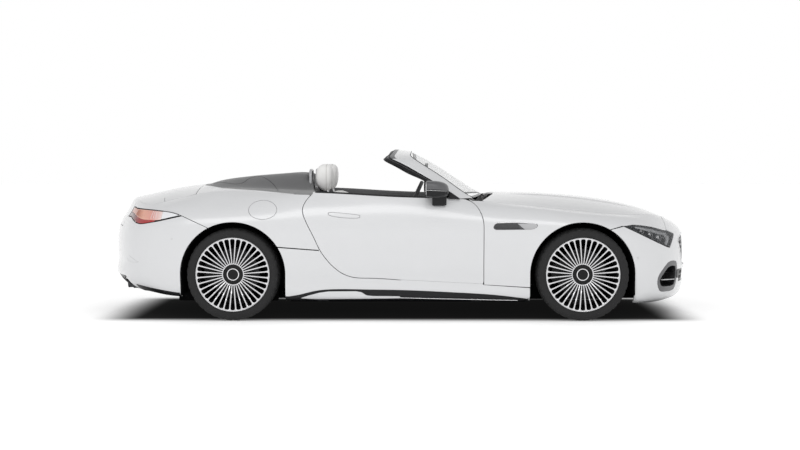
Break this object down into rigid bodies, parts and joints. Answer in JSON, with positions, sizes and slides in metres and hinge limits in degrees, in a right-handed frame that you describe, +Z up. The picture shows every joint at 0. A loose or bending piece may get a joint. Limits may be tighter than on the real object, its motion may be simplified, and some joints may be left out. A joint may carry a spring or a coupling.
{
  "type": "two-seat roadster convertible",
  "caption": "White two-seat roadster with its roof stowed, long bonnet, multi-spoke wheels, and opening doors, bonnet, boot lid and fuel flap.",
  "frame": {"origin": "on the ground, under the middle of the car's box", "axes": "+X towards the nose, +Y to the car's left, +Z up"},
  "size_m": [4.7033, 2.1072, 1.331],
  "materials": {
    "body_paint": "gloss",
    "black_trim": "gloss",
    "dark_plastic": "matte",
    "roof_cover": "matte",
    "glass": "gloss",
    "lamp_glass": "gloss",
    "red_lamp": "gloss",
    "tyre": "matte",
    "wheel_alloy": "machined",
    "steel": "satin",
    "chrome": "polished",
    "leather_white": "satin",
    "leather_black": "satin",
    "mirror": "polished"
  },
  "bodies": {
    "body": {"front_fender_left": "body_paint", "front_fender_right": "body_paint", "rear_quarter_left": "body_paint", "rear_quarter_right": "body_paint", "sills": "body_paint", "front_bumper": "body_paint", "grille": "dark_plastic", "headlamps": "lamp_glass", "rear_bumper": "body_paint", "tail_lamps": "red_lamp", "rear_valance": "black_trim", "exhaust": "chrome", "tonneau_cover": "roof_cover", "windscreen_glass": "glass", "windscreen_frame": "body_paint", "scuttle_panel": "black_trim", "wipers": "dark_plastic", "floor_tub": "steel", "undertray": "dark_plastic", "boot_tub": "steel", "engine_block": "steel", "front_wheel_liners": "dark_plastic", "rear_wheel_liners": "dark_plastic", "front_suspension": "steel", "rear_suspension": "steel", "dashboard": "leather_black", "centre_console": "leather_black", "seat_left": "leather_white", "seat_right": "leather_white", "roll_hoops": "dark_plastic", "steering_column": "dark_plastic"},
    "door_left": {"door_left": "body_paint", "mirror_left": "dark_plastic"},
    "door_right": {"door_right": "body_paint", "mirror_right": "dark_plastic"},
    "bonnet": {"bonnet": "body_paint"},
    "boot_lid": {"boot_lid": "body_paint"},
    "fuel_flap": {"fuel_flap": "body_paint"},
    "steering_wheel": {"steering_wheel": "leather_black"},
    "knuckle_left": {"front_knuckle_left": "steel"},
    "knuckle_right": {"front_knuckle_right": "steel"},
    "wheel_front_left": {"tyre_front_left": "tyre", "rim_front_left": "wheel_alloy"},
    "wheel_front_right": {"tyre_front_right": "tyre", "rim_front_right": "wheel_alloy"},
    "wheel_rear_left": {"tyre_rear_left": "tyre", "rim_rear_left": "wheel_alloy"},
    "wheel_rear_right": {"tyre_rear_right": "tyre", "rim_rear_right": "wheel_alloy"}
  },
  "joints": [
    {"name": "door_left_hinge", "type": "hinge", "parent": "body", "child": "door_left", "pos_m": [0.608, 0.908, 0.6], "axis": [0, 0, -1], "range_deg": [0, 66]},
    {"name": "door_right_hinge", "type": "hinge", "parent": "body", "child": "door_right", "pos_m": [0.608, -0.908, 0.6], "axis": [0, 0, 1], "range_deg": [0, 66]},
    {"name": "bonnet_hinge", "type": "hinge", "parent": "body", "child": "bonnet", "pos_m": [0.7, 0, 0.925], "axis": [0, -1, 0], "range_deg": [0, 48]},
    {"name": "boot_lid_hinge", "type": "hinge", "parent": "body", "child": "boot_lid", "pos_m": [-1.608, 0, 1.05], "axis": [0, 1, 0], "range_deg": [0, 68]},
    {"name": "fuel_flap_hinge", "type": "hinge", "parent": "body", "child": "fuel_flap", "pos_m": [-0.943, -0.9148, 0.858], "axis": [0, 0.481, 0.8767], "range_deg": [0, 90]},
    {"name": "steering_left", "type": "hinge", "parent": "body", "child": "knuckle_left", "pos_m": [1.4175, 0.78, 0.358], "axis": [0, 0, 1], "range_deg": [-35, 35]},
    {"name": "steering_right", "type": "hinge", "parent": "body", "child": "knuckle_right", "pos_m": [1.4175, -0.78, 0.358], "axis": [0, 0, 1], "range_deg": [-35, 35]},
    {"name": "steering_wheel_turn", "type": "hinge", "parent": "body", "child": "steering_wheel", "pos_m": [0.112, 0.37, 0.895], "axis": [-0.9063, 0, 0.4226], "range_deg": [-455, 455]},
    {"name": "wheel_front_left_spin", "type": "hinge", "parent": "knuckle_left", "child": "wheel_front_left", "pos_m": [1.4175, 0.8025, 0.358], "axis": [0, 1, 0], "continuous": true},
    {"name": "wheel_front_right_spin", "type": "hinge", "parent": "knuckle_right", "child": "wheel_front_right", "pos_m": [1.4175, -0.8025, 0.358], "axis": [0, 1, 0], "continuous": true},
    {"name": "wheel_rear_left_spin", "type": "hinge", "parent": "body", "child": "wheel_rear_left", "pos_m": [-1.2825, 0.7925, 0.358], "axis": [0, 1, 0], "continuous": true},
    {"name": "wheel_rear_right_spin", "type": "hinge", "parent": "body", "child": "wheel_rear_right", "pos_m": [-1.2825, -0.7925, 0.358], "axis": [0, 1, 0], "continuous": true}
  ],
  "couplings": [
    {"joint": "steering_right", "follows": "steering_left", "ratio": 1},
    {"joint": "steering_wheel_turn", "follows": "steering_left", "ratio": 13}
  ]
}
